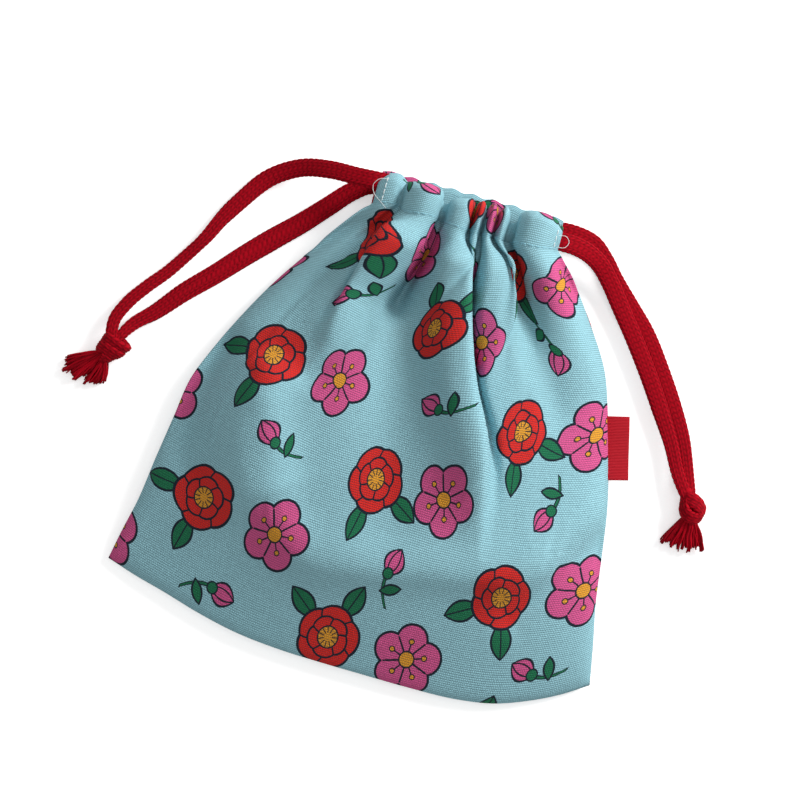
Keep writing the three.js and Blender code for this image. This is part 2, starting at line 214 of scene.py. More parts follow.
def fold_field(shape):
    """Rise and sideways shift of a surface by its soft folds and leaning pleats. A soft fold is
    a Gaussian bell of the distance from its line, lower towards its end. A pleat is a bell-shaped
    ridge on one side of its crease, with a breadth of its own on the far flank, and a groove on
    the other side, over which the ridge shifts. Both start at the mouth and fade along it."""
    samples, onset, crest = 80, 0.12, 0.9
    lean_holds, lean_fades = 0.45, 0.4
    rise, shift = np.zeros(shape.shape[:2]), np.zeros(shape.shape[:2] + (2,))
    plan = shape[..., :2]
    for ax, ay, bx, by, height, girth in FOLDS:
        along, way = np.array((bx - ax, by - ay)), plan - (ax, ay)
        t = np.clip((way @ along) / (along @ along), 0, 1)
        gap = np.linalg.norm(way - t[..., None] * along, axis=-1)
        rise += height * np.exp(-((gap / girth) ** 2)) * (1 - 0.45 * t)
    for crease, side, lean, height, girth, far, hold in PLEATS:
        line = smooth_line(np.pad(np.array(crease, float), ((0, 0), (0, 1))), samples)[:, :2]
        step = np.gradient(line, axis=0)
        right_hand = np.stack([-step[:, 1], step[:, 0]], 1)
        right_hand /= np.linalg.norm(right_hand, axis=1, keepdims=True)
        apart = plan[:, :, None] - line
        near = (apart**2).sum(-1).argmin(-1)
        gap = np.take_along_axis(apart, near[..., None, None], 2)[:, :, 0]
        gap = (gap * right_hand[near]).sum(-1) * side / girth
        t = near / (samples - 1)
        begun = ease(t / onset)
        strength = begun * (1 - ease((t - hold) / (1 - hold)))
        turn = begun * (1 - ease((t - lean_holds) / lean_fades))
        off_line = np.sqrt((apart**2).sum(-1).min(-1)) / (4 * far * girth)
        flank = (gap - crest) / np.where(gap > crest, far, 1)
        ridge = strength * np.exp(-(flank**2) / 0.8)
        groove = min(lean, 0.9) * turn * np.exp(-((gap + 0.5) ** 2) / 0.5)
        rise += np.exp(-(off_line**2)) * height * (ridge - groove)
        over = turn * lean * np.exp(-((gap - 0.6) ** 2) / 0.9)
        shift -= (side * over)[..., None] * right_hand[near]
    return rise[..., None], shift


def panel(gathers, crown, push, low):
    """One face of the pouch: a Coons patch between base fold, side seams and gathers, lifted to
    a crown that climbs evenly from the base to a shoulder, with the gathers fading down it, slow
    ripples, soft folds and leaning pleats. It is then relaxed as cloth and lightly smoothed."""
    lift, shoulder, gather_rise, ripple_rise = 6, 0.28, 1.3, 1.1
    side_rim, base_rim, mouth_rim = 0.1, 0.08, 0.1
    bend, rounds, smooth = 0.16, 260, 0.6
    u = np.linspace(0, 1, COLUMNS + 1)[None, :, None]
    v = np.linspace(0, 1, ROWS + 1)[:, None, None]
    base = smooth_line(BASE, COLUMNS + 1)
    left, right = smooth_line(LEFT, ROWS + 1), smooth_line(RIGHT, ROWS + 1)
    top = smooth_line(gathers, COLUMNS + 1)
    for side, end in ((left, top[0]), (right, top[-1])):
        side += (end[:3] - side[-1]) * ease((v[:, 0] - SEWN) / (1 - SEWN))
    span = COLUMNS // 5 * 2 + 1
    mean = np.convolve(np.pad(top[:, 2], span // 2, mode="edge"), np.ones(span) / span, "valid")
    reach = np.interp(u, FADE[0], FADE[1])
    waves = (top[:, 2] - mean)[None, :, None] * np.clip((v - reach) / (1 - reach), 0, 1) ** 1.1
    hump = np.clip(4 * u * (1 - u), 0, 1) ** 0.5
    ramp = v / shoulder
    climb = ramp / (1 + ramp**6) ** (1 / 6) * (1 - 0.2 * ease((v - 0.5) / 0.5))
    ripple = np.sin(9 * u + 5 * v + 1) * np.sin(7 * v - 4 * u) + 0.5 * np.sin(15 * u - 8 * v + 2)
    edge = ease(np.minimum(u, 1 - u) / side_rim) * ease(v / base_rim)
    shape = (1 - v) * base + v * top[:, :3] + (1 - u) * left[:, None] + u * right[:, None]
    shape -= (1 - v) * ((1 - u) * base[0] + u * base[-1])
    shape -= v * ((1 - u) * top[0, :3] + u * top[-1, :3])
    target = lift + crown * hump * climb
    if crown > 0:
        rise, shift = fold_field(shape)
        target = target + gather_rise * waves + (ripple_rise * ripple * hump * climb + rise)
        shape[..., :2] += shift * edge * (1 - ease((v - 0.93) / 0.07))
    blend = ease((v - 1 + mouth_rim) / mouth_rim)
    target = target + (top[:, 2][None, :, None] - target) * blend
    shape[..., 2:] += (target - shape[..., 2:]) * edge
    p = shape
    p[0], p[-1], p[:, 0], p[:, -1] = base, top[:, :3], left, right
    free = np.zeros(p.shape[:2] + (1,))
    free[1:-1, 1:-1] = 1
    cut = np.linalg.norm(np.diff(p, axis=1), axis=-1).sum(1)[:, None] * (u[..., 0] - 0.5)
    p = relax(p, free, np.broadcast_to(target, p.shape[:2] + (1,)), push, bend, rounds, low)
    inner = (p[:-2, 1:-1] + p[2:, 1:-1] + p[1:-1, :-2] + p[1:-1, 2:]) / 4
    p[1:-1, 1:-1] += smooth * (inner - p[1:-1, 1:-1])
    return p, cut, top


def casing_rows(top, band, rise, upward):
    """A casing above a stitch line: the outer layer climbs from the line, rounds over at the
    fold on a quarter ellipse and comes back as the inner layer at the band's height. Gives its
    rows and how far along the cloth each lies from the stitch line."""
    round_off, outer_long, round_long, inner_from, inner_long = 5, 11, 6, 21, 14
    x, y, z, fold = top.T
    s = np.linspace(0.08, 1, 11)[:, None]
    outer = y + (fold - round_off - y) * s, z + upward * rise * np.sin(np.pi * s / 1.6)
    a = np.linspace(0, np.pi / 2, 9)[1:, None]
    over = fold + round_off * (np.sin(a) - 1), band + (outer[1][-1] - band) * np.cos(a)
    t = np.linspace(0, 1, 7)[1:, None]
    inner = fold + (y + 0.6 - fold) * t, band + 0 * x * t
    y, z = (np.concatenate(part) for part in zip(outer, over, inner))
    drop = [outer_long * s, outer_long + round_long * a, inner_from + inner_long * t]
    return np.stack([np.broadcast_to(x, y.shape), y, z], -1), np.concatenate(drop)[:, 0]


front, front_cut, front_top = panel(GATHERS, crown=25, push=0.05, low=2)
back, back_cut, back_top = panel(BACK_GATHERS, crown=-6, push=0.03, low=LOWEST)
back[..., 2] = np.minimum(back[..., 2], np.maximum(0.5 * front[..., 2], LOWEST))
sewn = np.arange(ROWS + 1)[:, None, None] < SEWN * ROWS
back[:, [0, -1]] = np.where(sewn, front[:, [0, -1]], back[:, [0, -1]])
back[0] = front[0]
front_casing, front_drop = casing_rows(front_top, INNER_BAND, rise=0.9, upward=1)
back_casing, back_drop = casing_rows(back_top, BACK_BAND, rise=0, upward=-1)
back_casing[..., 2] = np.maximum(back_casing[..., 2], LOWEST)

v_front = np.linspace(0, CUT_HEIGHT, ROWS + 1)
strip = np.concatenate([back_casing[::-1], back[::-1], front[1:], front_casing])
strip_v = np.concatenate([-CUT_HEIGHT - back_drop[::-1], -v_front[::-1], v_front[1:],
                          CUT_HEIGHT + front_drop])
strip_u = np.concatenate([np.tile(back_cut[-1], (len(back_casing), 1)), back_cut[::-1],
                          front_cut[1:], np.tile(front_cut[-1], (len(front_casing), 1))])
index = np.arange(strip.shape[0] * strip.shape[1]).reshape(strip.shape[:2])
fold_row = len(back_casing) + ROWS
seam = np.arange(1, int(ROWS * SEWN))[:, None]
index[fold_row - seam, [0, -1]] = index[fold_row + seam, [0, -1]]
flat_cut = np.stack([strip_u, np.broadcast_to(strip_v[:, None], strip_u.shape)], -1)


class Wire:
    """An output socket of a material's nodes. Arithmetic on wires adds Math nodes."""

    def __init__(self, tree, socket=None):
        self.tree, self.socket = tree, socket

    def node(self, kind, values=None, out=0, **settings):
        """A new node: its settings first, then the values or links of its sockets."""
        made = self.tree.nodes.new(kind)
        for key, value in settings.items():
            setattr(made, key, value)
        for key, value in (values or {}).items():
            if isinstance(value, Wire):
                self.tree.links.new(value.socket, made.inputs[key])
            else:
                made.inputs[key].default_value = value
        return Wire(self.tree, made.outputs[out])

    def math(self, operation, *others):
        return self.node("ShaderNodeMath", dict(enumerate((self,) + others)), operation=operation)

    def __add__(self, other):
        return self.math("ADD", other)

    def __sub__(self, other):
        return self.math("SUBTRACT", other)

    def __mul__(self, other):
        return self.math("MULTIPLY", other)

    def __truediv__(self, other):
        return self.math("DIVIDE", other)

    def __rsub__(self, other):
        return self.node("ShaderNodeMath", {0: other, 1: self}, operation="SUBTRACT")

    def __abs__(self):
        return self.math("ABSOLUTE")

    __radd__, __rmul__ = __add__, __mul__

    def below(self, edge, soft=0.08):
        """1 where the value is below the edge, 0 above it, with a soft step between."""
        return self.node("ShaderNodeMapRange",
                         {0: self, 1: edge - soft, 2: edge + soft, 3: 1.0, 4: 0.0})

    def mix(self, first, second):
        """The first colour where the wire is 0, the second where it is 1."""
        return self.node("ShaderNodeMix", {0: self, 6: first, 7: second}, 2, data_type="RGBA")


def srgb(red, green, blue):
    """Linear colour of an 8-bit display colour."""
    c = np.array([red, green, blue]) / 255
    c = np.where(c <= 0.04045, c / 12.92, ((c + 0.055) / 1.055) ** 2.4)
    return (*c.tolist(), 1.0)


def new_material(name, **fixed):
    """A material, its shader with fixed values on its sockets, and a wire to start from."""
    material = bpy.data.materials.new(name)
    material.use_nodes = True
    tree = material.node_tree
    shader = tree.nodes["Principled BSDF"]
    for key, value in fixed.items():
        shader.inputs[key.replace("_", " ")].default_value = value
    return material, shader, Wire(tree)


def feed(wire, shader, name):
    """Links a wire to one of the shader's sockets."""
    wire.tree.links.new(wire.socket, shader.inputs[name])


def cell(u, v, wide, tall, du, dv):
    """Half-drop repeat: place within the cell, turned by a chance angle of the cell."""
    column = ((u + du) / wide).math("FLOOR")
    fall = v + dv + column.math("FLOORED_MODULO", 2.0) * (tall / 2)
    row = (fall / tall).math("FLOOR")
    x = u + du - (column + 0.5) * wide
    y = fall - (row + 0.5) * tall
    place = u.node("ShaderNodeCombineXYZ", {0: column, 1: row, 2: du})
    chance = u.node("ShaderNodeTexWhiteNoise", {0: place}, noise_dimensions="3D")
    spot = u.node("ShaderNodeCombineXYZ", {0: x, 1: y})
    turned = u.node("ShaderNodeVectorRotate", {0: spot, 3: chance * (2 * np.pi)},
                    rotation_type="Z_AXIS")
    return [u.node("ShaderNodeSeparateXYZ", {0: turned}, k) for k in (0, 1)]


def radius(x, y):
    """Distance of a place from the middle: the root of the sum of squares."""
    return (x * x + y * y).math("SQRT")


def polar(x, y):
    """Distance and angle of a place from the middle of its motif."""
    return radius(x, y), y.math("ARCTAN2", x)


PLAIN_BLUE = srgb(166, 218, 229)
INK = srgb(24, 18, 26)
GOLD = srgb(243, 168, 38)
PINK = srgb(234, 94, 154)
SCARLET = srgb(234, 38, 14)
LEAF = srgb(34, 122, 74)
WEAVE_SHADE = srgb(34, 58, 72)


def plum_blossom(cloth, x, y):
    """Five round petals by folding the angle, with ink outlines, a gold heart and stamens."""
    petal_at, petal_size, stamen_at, heart = 7.9, 6.2, 7.1, 2.7
    r, a = polar(x, y)
    fold = a.math("PINGPONG", np.pi / 5)
    px, py = r * fold.math("COSINE"), r * fold.math("SINE")
    petal = radius(px - petal_at, py) - petal_size
    split = r * (np.pi / 5 - fold).math("SINE")
    colour = petal.below(0.5).mix(cloth, INK)
    colour = petal.below(-0.5).mix(colour, PINK)
    colour = (split.below(0.38) * r.below(9.6)).mix(colour, INK)
    colour = (py.below(0.3) * r.below(6.6)).mix(colour, INK)
    tip = radius(px - stamen_at, py)
    colour = tip.below(1.25).mix(colour, INK)
    colour = tip.below(0.8).mix(colour, GOLD)
    colour = r.below(heart + 0.6).mix(colour, INK)
    return r.below(heart).mix(colour, GOLD)


def camellia(cloth, x, y):
    """A round bloom of two rings of petals, scalloped by the square of the folded angle, with a
    gold heart. Behind it are two leaves that narrow as a parabola."""
    outer, inner, heart = 12.6, 8.2, 3.8
    leaf_at, leaf_half, leaf_wide = 17.0, 7.6, 3.9
    r, a = polar(x, y)
    up = abs(y)
    lx, ly = x * 0.8 + up * 0.6, abs(up * 0.8 - x * 0.6)
    t = (lx - leaf_at) / leaf_half
    leaf = ly - leaf_wide * (1.0 - t * t)
    colour = leaf.below(0.5).mix(cloth, INK)
    colour = leaf.below(-0.45).mix(colour, LEAF)
    colour = (ly.below(0.28) * leaf.below(0.0)).mix(colour, INK)
    fold = (a + r * 0.035).math("PINGPONG", np.pi / 5)
    rim = r - outer + fold * fold * 3.4
    colour = rim.below(0.55).mix(colour, INK)
    colour = rim.below(-0.5).mix(colour, SCARLET)
    colour = ((r * (np.pi / 5 - fold)).below(0.4) * rim.below(0.0)).mix(colour, INK)
    turn = (a + r * 0.04 + 0.63).math("PINGPONG", np.pi / 5)
    ring = r - inner + turn * turn * 2.4
    colour = ring.below(0.42).mix(colour, INK)
    colour = ring.below(-0.42).mix(colour, SCARLET)
    colour = ((r * (np.pi / 5 - turn)).below(0.36) * ring.below(0.0)).mix(colour, INK)
    ray = a.math("PINGPONG", np.pi / 11) * r
    colour = r.below(heart + 0.6).mix(colour, INK)
    colour = r.below(heart).mix(colour, GOLD)
    return (ray.below(0.2) * r.below(heart) * (1.0 - r.below(1.6))).mix(colour, INK)


def bud(cloth, x, y):
    """A closed bud, widest at its middle as a parabola, on a short stalk that bends as another,
    with one small leaf and a round cup between."""
    stalk_at, stalk_half, bud_at, bud_half, bud_wide = 7.0, 6.0, 3.2, 5.6, 4.3
    leaf_x, leaf_y, leaf_half, leaf_wide, cup_at, cup_size = 4.6, 6.4, 4.6, 2.0, 1.6, 1.9
    bend = x - 0.05 * (y + 2.0) * (y + 2.0)
    stalk = abs(bend).math("MAXIMUM", abs(y + stalk_at) - stalk_half)
    colour = stalk.below(0.85).mix(cloth, INK)
    colour = stalk.below(0.4).mix(colour, LEAF)
    lx, ly = x - leaf_x, y + leaf_y
    lx, ly = lx * 0.8 + ly * 0.6, abs(ly * 0.8 - lx * 0.6)
    t = lx / leaf_half
    leaf = ly - leaf_wide * (1.0 - t * t)
    colour = leaf.below(0.45).mix(colour, INK)
    colour = leaf.below(-0.4).mix(colour, LEAF)
    t = (y - bud_at) / bud_half
    half = bud_wide * (1.0 - t * t)
    drop = abs(x) - half
    colour = drop.below(0.5).mix(colour, INK)
    colour = drop.below(-0.45).mix(colour, PINK)
    seam = abs(abs(x) - 0.45 * half)
    colour = (seam.below(0.32) * drop.below(0.0)).mix(colour, INK)
    cup = radius(x, y + cup_at)
    colour = cup.below(cup_size + 0.6).mix(colour, INK)
    return cup.below(cup_size).mix(colour, LEAF)


canvas, shader, start = new_material("printed_canvas", Roughness=0.9, Specular_IOR_Level=0.12)
place = start.node("ShaderNodeAttribute", out=1, attribute_name="flat_cut")
u, v = (start.node("ShaderNodeSeparateXYZ", {0: place}, k) for k in (0, 1))
stray = start.node("ShaderNodeTexNoise", {"Vector": place, "Scale": 0.8, "Detail": 2.0})
WARP, WEFT = 0.9, 0.84  # spacing of the canvas threads
pick = (v / WEFT).math("FLOOR") * (np.pi / 2)
crossing = abs((u * (np.pi / WARP) + pick + stray * 2.0).math("SINE")) * 0.7 + 0.3
crossing = crossing * abs((v * (np.pi / WEFT)).math("SINE"))
slub = start.node("ShaderNodeTexNoise", {"Vector": place, "Scale": 0.55, "Detail": 3.0})
REPEAT = (66.0, 62.0)  # the print's repeat across and along the cloth
colour = plum_blossom(PLAIN_BLUE, *cell(u, v, *REPEAT, 8.0, 20.0))
colour = camellia(colour, *cell(u, v, *REPEAT, 41.0, 20.0))
colour = bud(colour, *cell(u, v, *REPEAT, 24.0, 50.0))
weft = start.node("ShaderNodeCombineXYZ", {0: u * 0.09, 1: v * 0.93})
weft = start.node("ShaderNodeTexNoise", {"Vector": weft, "Scale": 1.0, "Detail": 2.0})
# Painted shade: the canvas is darkened in the gaps between its threads, where crossing is low; the
# noises add random thread tone and slubs.
shade = 0.5 * crossing.below(0.28, 0.28) + 0.16 * stray + 0.1 * slub + 0.12 * weft
colour = shade.mix(colour, WEAVE_SHADE)
feed(colour, shader, "Base Color")
relief = crossing + slub * 0.4
bump = start.node("ShaderNodeBump", {"Strength": 0.6, "Distance": 0.0003, "Height": relief})
feed(bump, shader, "Normal")

pouch = mesh_piece("pouch_canvas", strip, grid_faces(index), canvas, flat_cut=flat_cut)
wall = pouch.modifiers.new("wall", "SOLIDIFY")
wall.thickness, wall.offset = WALL * MM, -1
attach(pouch, "pouch")
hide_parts("pouch_cloth")

# Drawcords: two flat tubular braids of soft yarn, each threaded once round both casings and
# knotted to itself, so that two strands leave the casing on each side.
CORD_WIDTH, CORD_THICK = 7.0, 2.4
# The dark red is painted shade in the braid's grooves, and the colour of the darker yarns in the
# tassels.
GROOVE_SHADE_AND_DARK_YARN, YARN_RED = srgb(56, 0, 4), srgb(172, 3, 25)

cord_red, shader, start = new_material("crimson_braid", Roughness=0.8, Specular_IOR_Level=0.08)
plait = start.node("ShaderNodeAttribute", out=2, attribute_name="plait")
fleck = start.node("ShaderNodeTexNoise", {"Scale": 900.0, "Detail": 2.0})
# Painted shade: the braid's yarn goes dark in the grooves between stitches, where their height is
# low; on the tassels the same value is a random tone per yarn, and flecks vary both at random.
tone = (plait * 0.95 + fleck * 0.3 - 0.05).math("MINIMUM", 1.0).math("MAXIMUM", 0.0)
feed(tone.mix(GROOVE_SHADE_AND_DARK_YARN, YARN_RED), shader, "Base Color")
bump = start.node("ShaderNodeBump", {"Strength": 0.3, "Distance": 0.0001, "Height": fleck})
feed(bump, shader, "Normal")


def braid(name, path, wide, thick, around=52, step=0.45):
    """A flat tubular braid carried along a path: a rounded-rectangle section that faces the way
    the path's last three columns say, or up. Slanted stitches in columns that mirror each
    other raise its skin."""
    column_wide, stitch_long, relief, sink = 1.18, 2.2, 0.3, 0.18
    flank, face_round = 0.75, 0.62
    path = np.asarray(path, float)
    if path.shape[1] == 3:
        path = np.concatenate([path, np.tile((0, 0, 1.0), (len(path), 1))], 1)
    length = np.linalg.norm(np.diff(path[:, :3], axis=0), axis=1).sum()
    count = int(length / step)
    run, face = np.split(smooth_line(path, count), 2, axis=1)
    t = np.linspace(0, 1, count)
    wide, thick = (np.interp(t, np.linspace(0, 1, np.size(k)), np.atleast_1d(k))[:, None]
                   for k in (wide, thick))
    tangent = np.gradient(run, axis=0)
    tangent /= np.linalg.norm(tangent, axis=1, keepdims=True)
    up = face - (face * tangent).sum(1, keepdims=True) * tangent
    up /= np.linalg.norm(up, axis=1, keepdims=True)
    side = np.cross(tangent, up)
    angle = np.linspace(0, 2 * np.pi, around, endpoint=False)
    ca, sa = np.cos(angle), np.sin(angle)
    x = np.sign(ca) * np.abs(ca) ** flank * wide / 2
    y = np.sign(sa) * np.abs(sa) ** face_round * thick / 2
    column = x / column_wide + 0.5
    k = np.floor(column)
    f = column - k - 0.5
    along = t[:, None] * length / stitch_long
    stitch = np.abs(np.sin(np.pi * (along + 0.8 * np.where(k % 2 == 0, f, -f))))
    height = np.sqrt(stitch) * (1 - (1.7 * f) ** 2)
    nx, ny = x / wide**2, y / thick**2
    size = np.sqrt(nx**2 + ny**2)
    x = x + (relief * height - sink) * nx / size
    y = y + (relief * height - sink) * ny / size
    skin = run[:, None] + x[..., None] * side[:, None] + y[..., None] * up[:, None]
    index = np.arange(count * around).reshape(count, around)
    faces = [grid_faces(index, True).reshape(-1, 4)]
    for ring, hub in ((index[0][::-1], count * around), (index[-1], count * around + 1)):
        spoke = np.append(ring, ring[0])
        hubs = np.full(around // 2, hub)
        faces.append(np.stack([hubs, spoke[:-2:2], spoke[1:-1:2], spoke[2::2]], 1))
    points = np.concatenate([skin.reshape(-1, 3), run[:1], run[-1:]])
    # The stitch height, low in the grooves, is passed on for painted shade in the grooves between
    # stitches.
    shade = np.append(height.ravel(), (0, 0))
    return mesh_piece(name, points, np.concatenate(faces), cord_red, plait=shade), run


LEFT_LOWER = [(-120.6, 1.6, 5), (-119.4, 5.2, 4.8), (-116, 11.5, 3), (-108.8, 18.8, 1.6),
              (-99.5, 29.8, 1.45), (-89.3, 40.2, 1.45), (-79.7, 50.7, 1.45), (-70.3, 60.4, 1.45),
              (-61.2, 69.4, 1.45), (-52.7, 78.7, 1.5), (-45, 87, 1.8), (-39.4, 91, 2.2),
              (-35, 92, 2.4), (-30, 92.4, 2.4)]
LEFT_UPPER = [(-121.9, 1.6, 5.6), (-122.6, 5, 6), (-123.2, 11.1, 5.4), (-120.3, 19, 4.6),
              (-114.6, 27.6, 3.6), (-108.1, 35.8, 2.6), (-102.6, 44.1, 2.4), (-97, 53.1, 3),
              (-92.5, 62.8, 2.4), (-87.6, 71, 2.2), (-78.3, 83.4, 3), (-67.5, 89.9, 6.5),
              (-54.9, 91.9, 12.5), (-43.9, 91.8, 16.5), (-36.5, 92, 18.4), (-30, 92.4, 18)]
RIGHT_UNDER = [(118.8, 4, 5), (115.6, 12.7, 2.8), (110.5, 25.1, 1.5), (102, 39, 1.45),
               (93.5, 51.3, 1.45), (84.1, 63.5, 1.45), (74.2, 73.2, 1.45), (66.2, 81, 1.5),
               (59.9, 87.9, 1.9), (54.4, 92.2, 3), (47.1, 93.8, 4.4), (40.4, 93.6, 5.1),
               (35, 91.6, 5.1), (30, 89, 5.1)]
RIGHT_OVER = [(117.4, 3.6, 6.6), (112, 11.1, 5.2), (105.8, 22.6, 4.2), (97.2, 36, 4.1),
              (88.9, 48.1, 4.1), (79.8, 60.2, 4.1), (71.3, 70.7, 4.3), (64.4, 79.1, 5.4),
              (58.6, 84.5, 8), (52.9, 87.2, 11.6), (46.4, 88.4, 14.6), (39.7, 88.4, 16),
              (35, 88.6, 16.2), (30, 89, 15.9)]
# Each strand from its knot to the casing: its path, its body and its widths along the way.
STRANDS = {"left_strand_lower": (LEFT_LOWER, "left_cord", [3.6, 6.2, 7.6, 8.4, 8.8, 8.4, 7.6, 7]),
           "left_strand_upper": (LEFT_UPPER, "left_cord", [4.6, 5.2, 5, 4.8, 6.6, 7.2, 7.2, 7, 7]),
           "right_strand_under": (RIGHT_UNDER, "right_cord", [4.6, 6, 7, 7.2, 7.2, 7.2, 7.2, 7]),
           "right_strand_over": (RIGHT_OVER, "right_cord", [4.6, 5.6, 6.8, 7, 7, 7.2, 7.4, 7.4])}
strands = {}
for name, (points, body, widths) in STRANDS.items():
    made, run = strands[name] = braid(name, points, widths, CORD_THICK)
    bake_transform(made)

# The runs of each cord inside the casings, bunched narrower by the gathers, with the turn just
# inside the casing's far end. They go on from the strands and stay with the pouch.
RUN_WIDTHS, RUN_THICK = [7, 6, 5, 5, 6, 7, 7, 7, 6, 5, 5, 6, 7], 2.3
LEFT_RUN = [(-31, 92.4, 2.4, 0, 0, -1), (-22, 91, 2.6, 0, 0, -1), (-10, 89.6, 2.6, 0, 0, -1),
            (10, 89, 2.6, 0, 0, -1), (24, 87, 2.5, 0, 0, -1), (33, 86, 2.6, 0, 0, -1),
            (36.4, 86, 5, 0.7, 0, -0.7), (37.4, 86, 10, 1, 0, 0), (36.4, 86, 15, 0.7, 0, 0.7),
            (33, 86, 16.8, 0, 0, 1), (29, 86.4, 15, 0, 0, 1), (24, 86.4, 11.4, 0, 0, 1),
            (18, 86.4, 11, 0, 0, 1), (4, 86.4, 11, 0, 0, 1), (-10, 86.6, 11.4, 0, 0, 1),
            (-22, 90, 15.6, 0, 0, 1), (-31, 92.4, 18.1, 0, 0, 1)]
RIGHT_RUN = [(31, 89, 5.1, 0, 0, -1), (20, 86.6, 4.4, 0, 0, -1), (0, 85.2, 3.4, 0, 0, -1),
             (-20, 85.8, 4.4, 0, 0, -1), (-31, 86, 5.1, 0, 0, -1), (-34, 86, 6.8, -0.7, 0, -0.7),
             (-35, 86, 10, -1, 0, 0), (-34, 86, 13.4, -0.7, 0, 0.7), (-31, 86, 14.8, 0, 0, 1),
             (-20, 84.8, 13, 0, 0, 1), (0, 84.6, 11, 0, 0, 1), (20, 85, 11, 0, 0, 1),
             (31, 89, 15.7, 0, 0, 1)]
for name, points in (("left_cord_run_inside", LEFT_RUN), ("right_cord_run_inside", RIGHT_RUN)):
    made, _ = braid(name, points, RUN_WIDTHS, RUN_THICK, step=0.6)
    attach(made, "pouch")

# Knots: each pair of strands is tied together and drawn tight. On the left the flat braid is
# wound round itself in a cone of turns, and on the right it makes one plain overhand knot.
KNOT_WIDTHS, KNOT_THICK = [4.4, 5.2, 5.4, 5.4, 5.2, 5, 4.6], 2.9
OVERHAND = np.array([(-6.8, 3.2, -0.6), (-4.2, 2.8, 0.4), (-0.8, 3.4, 1.7), (2.4, 2.4, 2.9),
                     (3.9, -0.6, 2.8), (2.9, -3.6, 0.8), (0.2, -4.1, -1.9), (-2.6, -1.6, -3),
                     (-3.6, 2, -2.1), (-3.5, 3.8, 0.6), (-2.8, 1.5, 3.1), (-1.2, -2, 3.2),
                     (0.9, -3.6, 0.9), (2.6, -1.4, -1), (5, -0.2, -0.8), (7.6, 0, -1)])
KNOTS = {"left": ((-121.4, 0.3, 5), -123.0), "right": ((120.3, 0.7, 5.2), -87.0)}


def in_knot(side, local):
    """Points given along the tail, across it and up, put at that side's knot."""
    centre, heading = KNOTS[side]
    a = np.array([np.cos(np.radians(heading)), np.sin(np.radians(heading)), 0])
    b = np.array([-a[1], a[0], 0])
    return np.asarray(local) @ np.array([a, b, (0, 0, 1.0)]) + np.array(centre)


def wound(turns, tail, radii, skew):
    """A cone of turns round the tail: a spiral that goes along it while its radius follows the
    list, each turn skewed back on one side, with the braid facing out from the cone."""
    s = np.linspace(0, 1, 40)
    a = np.pi * (2 * turns * s - 0.5)
    radius = np.interp(s, np.linspace(0, 1, len(radii)), radii)
    along = tail[0] + (tail[1] - tail[0]) * s - skew * radius * np.cos(a)
    spiral = np.stack([along, radius * np.cos(a), 0.8 * radius * np.sin(a)], 1)
    return spiral, np.stack([0.3 + 0 * s, np.cos(a), 0.9 * np.sin(a)], 1)


knots = {}
for side in KNOTS:
    if side == "left":
        wrap, face = wound(2.5, (-3.9, 4.8), (4, 4.4, 4.1, 3.3, 2.4), 0.15)
    else:
        wrap = OVERHAND * (1, -1, 0.92)
        face = wrap * (0.25, 1, 1) + (0, 0, 0.02)
    centre = np.array(KNOTS[side][0])
    path = np.concatenate([in_knot(side, wrap), in_knot(side, face) - centre], 1)
    knots[side], _ = braid(side + "_overhand_knot", path, KNOT_WIDTHS, KNOT_THICK,
                           around=44, step=0.4)
    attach(knots[side], side + "_cord")
    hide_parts(side + "_knot")

# Tassels: below the knot the braid is combed out, and its crimped yarns fan out flat on the
# table in locks with ragged ends. For each side: how many yarns, their reach, the spread of their
# ends, how the ends slant and curve, how the whole sways, and the seed of its chance.
FRAYS = {"left": (220, 14.8, 8.8, 0.22, 0.26, -0.06, 5),
         "right": (190, 12.8, 8.8, 0.04, 0.12, 0, 7)}
YARN_RINGS, YARN_SIDES, LOCKS = 16, 6, 13
ROOT, NECK, NECK_HALF = 2.5, 4.6, 2.2  # where yarns start in the knot and leave it, how bunched
YARN_LOW = 0.45  # lowest middle of a yarn, above the table


def tubes(line, girth, up=(0.13, 0.21, 1.0)):
    """Round tubes along many lines at once: points, then quads between their rings."""
    tangent = np.gradient(line, axis=1)
    tangent /= np.linalg.norm(tangent, axis=-1, keepdims=True) + 1e-9
    flat = np.cross(tangent, up)
    flat /= np.linalg.norm(flat, axis=-1, keepdims=True)
    high = np.cross(flat, tangent)
    angle = np.linspace(0, 2 * np.pi, YARN_SIDES, endpoint=False)
    skin = line[:, :, None] + girth * (np.cos(angle)[:, None] * flat[:, :, None]
                                       + np.sin(angle)[:, None] * high[:, :, None])
    index = np.arange(skin[..., 0].size).reshape(skin.shape[:3])
    wrap = np.concatenate([index, index[:, :, :1]], 2)
    faces = np.stack([wrap[:, :-1, :-1], wrap[:, :-1, 1:], wrap[:, 1:, 1:], wrap[:, 1:, :-1]], -1)
    caps = np.concatenate([index[:, -1, [0, 1, 2, 3]], index[:, -1, [0, 3, 4, 5]],
                           index[:, 0, [3, 2, 1, 0]], index[:, 0, [5, 4, 3, 0]]])
    return skin.reshape(-1, 3), np.concatenate([faces.reshape(-1, 4), caps])


